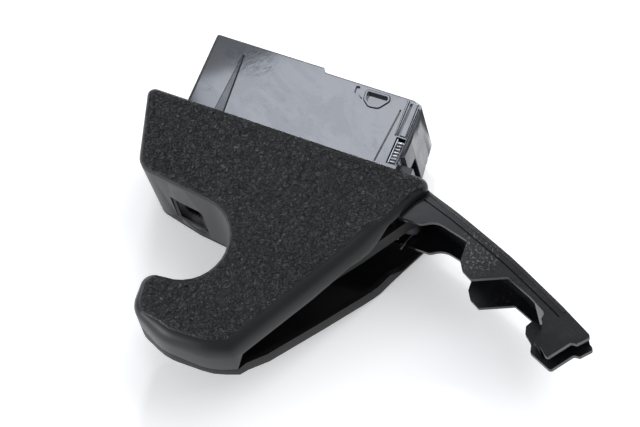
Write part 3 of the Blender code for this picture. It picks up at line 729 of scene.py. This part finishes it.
PAD_END = 23.0               # the raised pad on the door side ends here, and the step starts
STEP_START = 24.4
STEP_Y = -1.8
SLOT_FILLS = (               # plain cut-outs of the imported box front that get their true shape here
    (38.6, 41.6, -8.2, -3.4, 16.2), (43.4, 53.6, -10.2, -4.0, 13.6),
    (57.4, 59.6, -31.2, -7.4, 16.8), (60.0, 61.4, -31.2, -7.4, 16.8),
)
HOOK_SLOT = (
    (38.5, -3.4, 0.3), (39.9, -3.0, 0.5), (40.5, -3.9, 0.3), (40.3, -5.9, 0.6), (41.5, -7.0, 0.6),
    (42.9, -7.7, 0.4), (42.5, -8.7, 0.4), (40.2, -7.7, 1.2), (38.8, -6.0, 1.0),
)
POCKET = (
    (43.9, -4.2, 0.6), (44.2, -7.6, 1.2), (46.6, -9.6, 1.8), (50.2, -9.2, 1.8), (53.0, -5.4, 1.0),
    (52.4, -4.0, 0.5),
)
POCKET_DEPTH = 1.7
GROOVE_DEPTH = 1.1
GAPS = ((61.95, 62.75, -3.6), (65.75, 66.15, -4.6))   # both sides, and the door-side end
GAP_FOOT = -18.4
GAP_DEPTH = 1.4
RIB_ROOT = 0.4               # ribs and lips start this far under the surface they stand on
RIB_HEIGHT = 0.6
FLOW_GROOVE = ((58.9, -7.4), (57.3, -31.4), (60.1, -31.4), (59.5, -7.4))
TAPERED_RIB = ((-9.9, -5.2), (-11.4, -32.5), (-7.0, -32.5), (-8.9, -5.2))
TAPERED_HEIGHT = 0.75
CLEAR = 1.0                  # cutters stand this far proud of the surface
LEFT_CHAMFER = 1.5
TOP_CHAMFER = 0.55
END_FILL = ((66.0, -14.2), (67.99, -14.2), (67.26, -8.4), (66.0, -8.4))   # flush with the flared end
END_FILL_Z = (-BOX_FRONT_Z + 0.5, 11.5)
END_RIBS = (
    ((60.5, -2.9), (61.1, -18.4), (61.8, -18.4), (61.4, -2.9)),
    ((62.9, -3.4), (63.1, -18.2), (65.7, -18.2), (65.2, -3.0)),
    ((66.2, -5.0), (66.3, -29.8), (66.9, -29.8), (66.8, -5.0)),
)


class HANDLE_OT_carrier_box(bpy.types.Operator):
    """Make the polished carrier box with its moulded marks"""

    bl_idname = "handle.carrier_box"
    bl_label = "Carrier box"

    def execute(self, context):
        front = BOX_FRONT_Z
        piece = shown("polished_box", moulding("carrier_housing"), "carrier_housing")
        fills = [block(*sides, front) for sides in SLOT_FILLS]
        carve(piece, "UNION", *fills, prism(END_FILL, *END_FILL_Z))
        slot, rim = rounded(HOOK_SLOT[::-1]), rounded(POCKET)
        carve(
            piece, "DIFFERENCE",
            self.cutter(slot, GROOVE_DEPTH),
            self.cutter(rim, POCKET_DEPTH),
            self.cutter(FLOW_GROOVE, GROOVE_DEPTH),
            *(block(x0, x1, GAP_FOOT, top, front - GAP_DEPTH, front + CLEAR) for x0, x1, top in GAPS),
        )
        carve(piece, "DIFFERENCE", *self.chamfers(front))
        root, top = front - RIB_ROOT, front + RIB_HEIGHT
        ribs = [prism(outline, root, top, 0.3) for outline in END_RIBS]
        ribs.append(prism(TAPERED_RIB, root, front + TAPERED_HEIGHT, 0.55))
        collar = prism(inset(rim, -1.0), root, top, 0.5)
        carve(piece, "UNION", *ribs, collar)
        carve(piece, "DIFFERENCE", self.cutter(rim, POCKET_DEPTH))
        rounded_edges(piece, context.scene.handle_sizes.edge / MM)
        smooth(piece)
        return {"FINISHED"}

    def cutter(self, outline, depth):
        return prism(outline, BOX_FRONT_Z - depth, BOX_FRONT_Z + CLEAR)

    def chamfers(self, front):
        """Cutters that slope the front's left edge, and more finely its door-side edges."""
        low, high = BOX_LOW.x / MM, BOX_HIGH.x / MM
        left = sloped_cutter((low, -60.0), (low, 5.0), front, LEFT_CHAMFER)
        pad = sloped_cutter((low - 5.0, 0.0), (PAD_END, 0.0), front, TOP_CHAMFER)
        step = sloped_cutter((STEP_START, STEP_Y), (high, STEP_Y), front, TOP_CHAMFER)
        return left, pad, step


ARM_EDGE = (                 # the arm's outer edge, from its end to its foot
    (160.6, -69.9, 0), (149.6, -63.8, 120), (123.8, -51.2, 180), (97.2, -40.6, 180),
    (84.0, -36.2, 12), (79.0, -34.0, 0),
)
ARM_LINE = (3.6, 4.3)        # a fine groove runs this far in from the arm's outer edge
ARM_LINE_DEPTH = 0.8
ARM_LIP = (0.5, 1.4)         # and a raised lip this far in
ARM_LIP_HEIGHT = 0.45
END_STEP = ((141.0, -72.4), (144.6, -71.6), (148.0, -82.0), (147.4, -84.0), (141.0, -81.0))
END_STEP_Z = 9.0
END_TWIN = (                 # rear plate of the end tab, which reaches further in than the front one
    (138.2, -69.0, 1.0), (136.6, -72.0, 1.0), (137.6, -75.2, 1.0), (141.3, -78.3, 0.8),
    (142.3, -81.8, 0.8), (151.8, -86.0, 0.8), (158.0, -77.4, 0.8), (150.0, -70.5, 1.0),
)
END_TWIN_Z = (0.6, 3.2)


def strip(edge, near, far):
    """Outline of the band between two distances in from an open edge."""
    return inset(edge, near)[1:-1] + inset(edge, far)[1:-1][::-1]


class HANDLE_OT_retaining_arm(bpy.types.Operator):
    """Make the curved retaining arm with the fine lip along its outer edge"""

    bl_idname = "handle.retaining_arm"
    bl_label = "Retaining arm"

    def execute(self, context):
        piece = shown("scuffed_arm", moulding("retaining_arm"), "retaining_arm")
        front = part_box("retaining_arm")[1].z / MM
        edge = rounded(ARM_EDGE, 4.0)
        line = prism(strip(edge, *ARM_LINE), front - ARM_LINE_DEPTH, front + CLEAR)
        carve(piece, "DIFFERENCE", line, prism(END_STEP, END_STEP_Z, front + CLEAR))
        lip = prism(strip(edge, *ARM_LIP), front - RIB_ROOT, front + ARM_LIP_HEIGHT, 0.2)
        carve(piece, "UNION", prism(rounded(END_TWIN), *END_TWIN_Z), lip)
        rounded_edges(piece, context.scene.handle_sizes.edge / MM)
        smooth(piece)
        return {"FINISHED"}


CLIP_LOW, CLIP_HIGH = (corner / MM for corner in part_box("retaining_clip"))
CLIP_TEETH = 7
CLIP_BASE = 1.0              # the plate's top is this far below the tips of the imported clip
TOOTH_PROUD = 0.5
RAIL_PROUD = 0.7
RAIL_WIDTH = 0.5
CLIP_MARGIN = 0.6            # bare plate at both ends of the row of teeth
TOOTH_INSET = 0.7
CLIP_ROUNDING = 0.12


class HANDLE_OT_serrated_clip(bpy.types.Operator):
    """Make the serrated retaining clip"""

    bl_idname = "handle.serrated_clip"
    bl_label = "Serrated clip"

    def execute(self, context):
        left, near, root = CLIP_LOW
        right, far, tips = CLIP_HIGH
        plate = block(left, right, near, far, root, tips - CLIP_BASE, 0.5)
        piece = shown("serrated_clip", plate, "retaining_clip")
        piece.data.materials[0] = material_of("clip_steel")
        pitch = (far - near - 2 * CLIP_MARGIN) / CLIP_TEETH
        teeth = [self.tooth(near + CLIP_MARGIN + i * pitch, pitch) for i in range(CLIP_TEETH)]
        rail = block(left, left + RAIL_WIDTH, near, far, root, tips + RAIL_PROUD, 0.15)
        carve(piece, "UNION", *teeth, rail)
        rounded_edges(piece, CLIP_ROUNDING)
        smooth(piece)
        return {"FINISHED"}

    def tooth(self, y, pitch):
        """One slightly skewed tooth that starts at y."""
        left, right = CLIP_LOW.x + TOOTH_INSET, CLIP_HIGH.x - TOOTH_INSET
        outline = ((left, y), (right, y + 0.15), (right, y + pitch * 0.6), (left, y + pitch * 0.45))
        return prism(outline, CLIP_LOW.z + CLIP_BASE, CLIP_HIGH.z + TOOTH_PROUD, 0.18)


THREAD_PITCH = 1.1
HEAD_SIDES = 36
HEAD_HEIGHT = 1.9
SHANK_SHARE = 0.42           # shank's radius as a share of the head's
DRIVE_SHARE = 0.52           # half length of the cross recess, likewise
DRIVE_HALF_WIDTH = 0.42
DRIVE_DEPTH = 1.1
SCREWS = (                   # node and the axis along it; every head is at the axis's low end
    ("core_screw_1", 2), ("core_screw_2", 2), ("cover_screw_1", 2), ("cover_screw_2", 2),
    ("arm_screw_1", 0), ("arm_screw_2", 0),
)


def screw_profile(head, length):
    """Radius and height along a screw with its head up: domed head, grooved shank, point."""
    head_height = min(HEAD_HEIGHT, length * 0.3)
    under = length - head_height
    shank = head * SHANK_SHARE
    profile = [(0.0, length), (head * 0.45, length), (head * 0.8, length - 0.3),
               (head * 0.96, length - 0.75), (head, under), (shank * 0.9, under)]
    for i in range(max(2, int((under - 1.2) / THREAD_PITCH))):
        base = under - 0.5 - i * THREAD_PITCH
        profile += [(shank * 0.86, base), (shank * 1.16, base - THREAD_PITCH * 0.5)]
    return profile + [(shank * 0.8, max(0.7, base - THREAD_PITCH)), (shank * 0.3, 0.1), (0.0, 0.0)]


def spun(profile):
    """Solid turned about Z from a profile."""
    bm = bmesh.new()
    ring = [bm.verts.new(Vector((r, 0, z)) * MM) for r, z in profile]
    edges = [bm.edges.new(pair) for pair in zip(ring, ring[1:])]
    bmesh.ops.spin(bm, geom=ring + edges, cent=(0, 0, 0), axis=(0, 0, 1), angle=math.tau,
                   steps=HEAD_SIDES, use_merge=True)
    bmesh.ops.remove_doubles(bm, verts=bm.verts, dist=WELD)
    bmesh.ops.recalc_face_normals(bm, faces=bm.faces)
    return bm


def cross_recess(head, length):
    """Two crossed slots in the top of a screw's head."""
    slots = []
    for quarter in range(2):
        long, wide = head * DRIVE_SHARE, DRIVE_HALF_WIDTH
        slot = block(-long, long, -wide, wide, length - DRIVE_DEPTH, length + 0.5)
        turn = Matrix.Rotation(quarter * math.pi / 2, 3, "Z")
        bmesh.ops.rotate(slot, verts=slot.verts, matrix=turn)
        slots.append(slot)
    return slots


def turned_screw(node, axis):
    """Cross-recess screw along an axis, filling the box of a CAD screw."""
    low, high = (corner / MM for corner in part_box(node))
    length = (high - low)[axis]
    head = max((high - low)[other] for other in range(3) if other != axis) / 2 * 0.995
    up = Vector((0, 0, 0))
    up[axis] = -1.0
    foot = (low + high) / 2
    foot[axis] = high[axis]
    turn = Vector((0, 0, 1)).rotation_difference(up).to_matrix().to_4x4()
    matrix = Matrix.Translation(foot * MM) @ turn
    screw = spun(screw_profile(head, length))
    slots = cross_recess(head, length)
    for mesh in (screw, *slots):
        bmesh.ops.transform(mesh, matrix=matrix, verts=mesh.verts)
    piece = shown("fine_" + node, screw, node)
    carve(piece, "DIFFERENCE", *slots)
    smooth(piece)


class HANDLE_OT_screws(bpy.types.Operator):
    """Make the cross-recess screws"""

    bl_idname = "handle.screws"
    bl_label = "Screws"

    def execute(self, context):
        for node, axis in SCREWS:
            turned_screw(node, axis)
        return {"FINISHED"}


ROUND_WIRE = ("return_spring", "rod_clip")
SOFT_EDGED = (               # node and edge rounding
    ("pivot_pin", 0.25), ("pivot_e_clip", 0.1), ("crank_pin", 0.2), ("crank_retainer", 0.1),
    ("grip_lever_core", 0.35), ("bell_crank", 0.3), ("stop_buffer", 0.3),
    ("pivot_bush_rear", 0.15), ("pivot_bush_front", 0.15), ("crank_bush", 0.15),
    ("mounting_insert_1", 0.15), ("mounting_insert_2", 0.15),
)


class HANDLE_OT_small_parts(bpy.types.Operator):
    """Make the spring, pins, clips, bushes, inserts and levers with softened edges"""

    bl_idname = "handle.small_parts"
    bl_label = "Small parts"

    def execute(self, context):
        for node in ROUND_WIRE:
            smooth(fine(node), WIRE_CREASE)
        for node, width in SOFT_EDGED:
            piece = fine(node)
            rounded_edges(piece, width)
            smooth(piece)
        return {"FINISHED"}


RIGHT = Vector((0.9146, 0.3812, -0.1353))
UP = Vector((-0.2972, 0.8603, 0.4145))
AIM = Vector((32.8, -42.9, -26.2)) * MM
LENS = 300.0
SENSOR = 36.0
FLOOR_DROP = 0.0002          # metres between the handle and the floor
FLOOR_REACH = 3.0
SKY = (0.95, 0.97, 1.0, 1.0)
SKY_STRENGTH = 0.5
BOX_MIDDLE = Vector((36, -22, BOX_FRONT_Z)) * MM
GLINT = Vector((-0.2744, 0.3389, 0.9001))   # the box's front mirrors the camera's line this way
LAMPS = (                    # name, place, aim, size, watts, colour; all in metres
    ("front softbox", BOX_MIDDLE + GLINT * 0.30, BOX_MIDDLE, (0.105, 0.085), 0.075, (0.84, 0.89, 1.0)),
    ("overhead", Vector((0.9, 1.2, 1.5)), Vector((0.05, -0.05, 0)), (2.4, 2.4), 36.0, (1, 1, 1)),
    ("grain light", Vector((-0.16, 0.50, 0.48)), Vector((0.02, -0.07, 0.02)), (0.10, 0.08), 1.3, (1, 1, 1)),
    ("low fill", Vector((-0.55, -0.85, 0.22)), Vector((0, -0.06, 0)), (0.5, 0.3), 3.6, (1, 1, 1)),
)


class HANDLE_OT_stage(bpy.types.Operator):
    """Make the floor, the soft light and the camera"""

    bl_idname = "handle.stage"
    bl_label = "Floor, light and camera"

    def execute(self, context):
        self.floor(context.scene.handle_tints.floor)
        self.surround(context.scene)
        for lamp in LAMPS:
            self.lamp(*lamp)
        self.camera(context.scene)
        return {"FINISHED"}

    def floor(self, tint):
        bm = bmesh.new()
        bmesh.ops.create_grid(bm, x_segments=8, y_segments=8, size=FLOOR_REACH)
        mesh = bpy.data.meshes.new("floor")
        bm.to_mesh(mesh)
        bm.free()
        floor = bpy.data.objects.new("floor", mesh)
        floor.location.z = FLOOR_Z * MM - FLOOR_DROP
        bpy.context.scene.collection.objects.link(floor)
        mesh.materials.append(floor_finish(tint))

    def surround(self, scene):
        world = bpy.data.worlds.new("soft surround")
        world.use_nodes = True
        background = world.node_tree.nodes["Background"]
        background.inputs["Color"].default_value = SKY
        background.inputs["Strength"].default_value = SKY_STRENGTH
        scene.world = world

    def lamp(self, name, place, target, size, watts, tint):
        light = bpy.data.lights.new(name, "AREA")
        light.shape = "RECTANGLE"
        light.size, light.size_y = size
        light.energy = watts
        light.color = tint
        lamp = bpy.data.objects.new(name, light)
        lamp.location = place
        lamp.visible_camera = False
        lamp.rotation_euler = (target - place).to_track_quat("-Z", "Y").to_euler()
        bpy.context.scene.collection.objects.link(lamp)

    def camera(self, scene):
        data = bpy.data.cameras.new("camera")
        data.lens = LENS
        data.sensor_width = SENSOR
        distance = scene.handle_sizes.view_width * LENS / SENSOR
        back = RIGHT.cross(UP).normalized()
        turn = Matrix((RIGHT, UP, back)).transposed()
        camera = bpy.data.objects.new("camera", data)
        camera.matrix_world = Matrix.Translation(AIM + back * distance) @ turn.to_4x4()
        data.clip_start = 0.1
        data.clip_end = 20.0
        scene.collection.objects.link(camera)
        scene.camera = camera
        scene.view_settings.view_transform = "Standard"


class HANDLE_PT_panel(bpy.types.Panel):
    """Lists the handle's pieces"""

    bl_idname = "HANDLE_PT_panel"
    bl_label = "Door handle"
    bl_space_type = "VIEW_3D"
    bl_region_type = "UI"
    bl_category = "Door handle"

    def draw(self, context):
        layout = self.layout
        for group in (context.scene.handle_tints, context.scene.handle_sizes):
            for name in group.bl_rna.properties.keys():
                if name not in ("rna_type", "name"):
                    layout.prop(group, name)
        for operator in OPERATORS:
            layout.operator(operator.bl_idname)


GROUPS = (HandleTints, HandleSizes)
OPERATORS = (
    HANDLE_OT_finishes,
    HANDLE_OT_grip_shell,
    HANDLE_OT_rear_cover,
    HANDLE_OT_carrier_box,
    HANDLE_OT_retaining_arm,
    HANDLE_OT_serrated_clip,
    HANDLE_OT_screws,
    HANDLE_OT_small_parts,
    HANDLE_OT_stage,
)


def register():
    for cls in (*GROUPS, *OPERATORS, HANDLE_PT_panel):
        bpy.utils.register_class(cls)
    bpy.types.Scene.handle_tints = bpy.props.PointerProperty(type=HandleTints)
    bpy.types.Scene.handle_sizes = bpy.props.PointerProperty(type=HandleSizes)


def unregister():
    del bpy.types.Scene.handle_sizes
    del bpy.types.Scene.handle_tints
    for cls in reversed((*GROUPS, *OPERATORS, HANDLE_PT_panel)):
        bpy.utils.unregister_class(cls)


def main():
    register()
    for operator in OPERATORS:
        group, name = operator.bl_idname.split(".")
        getattr(getattr(bpy.ops, group), name)()


if __name__ == "__main__":
    main()
